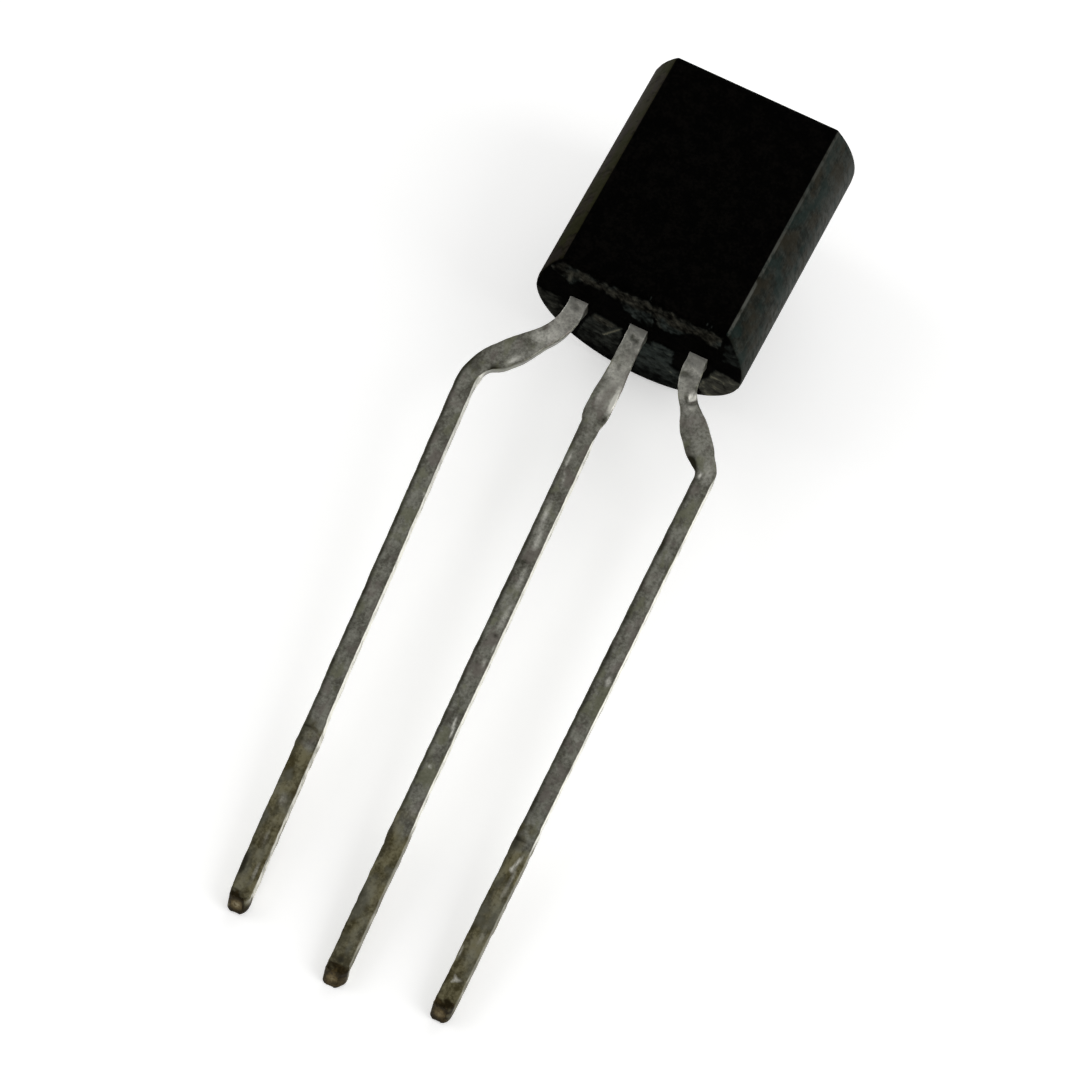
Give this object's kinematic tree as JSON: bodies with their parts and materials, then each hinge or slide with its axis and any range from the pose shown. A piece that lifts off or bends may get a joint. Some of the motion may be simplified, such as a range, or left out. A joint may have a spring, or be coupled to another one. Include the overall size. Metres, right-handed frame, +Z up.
{
  "type": "to-92 transistor",
  "caption": "Small-signal transistor in a moulded case, flat on one side and round on the other, with formed leads for a wide hole pitch.",
  "frame": {"origin": "centre of the bounding box's bottom, on the surface that the part lies on", "axes": "+Y from the lead tips to the case's far end, along the lying part; +Z up, out of the flat side; +X across the leads, from the collector lead to the emitter lead"},
  "size_m": [0.0056, 0.019, 0.0042],
  "materials": {
    "moulding": "moulded",
    "lead_plating": "dull",
    "silicon": "polished",
    "bond_wire": "drawn"
  },
  "bodies": {
    "root": {"case": "moulding", "collector_lead": "lead_plating", "base_lead": "lead_plating", "emitter_lead": "lead_plating", "chip": "silicon", "base_wire": "bond_wire", "emitter_wire": "bond_wire"}
  },
  "joints": []
}
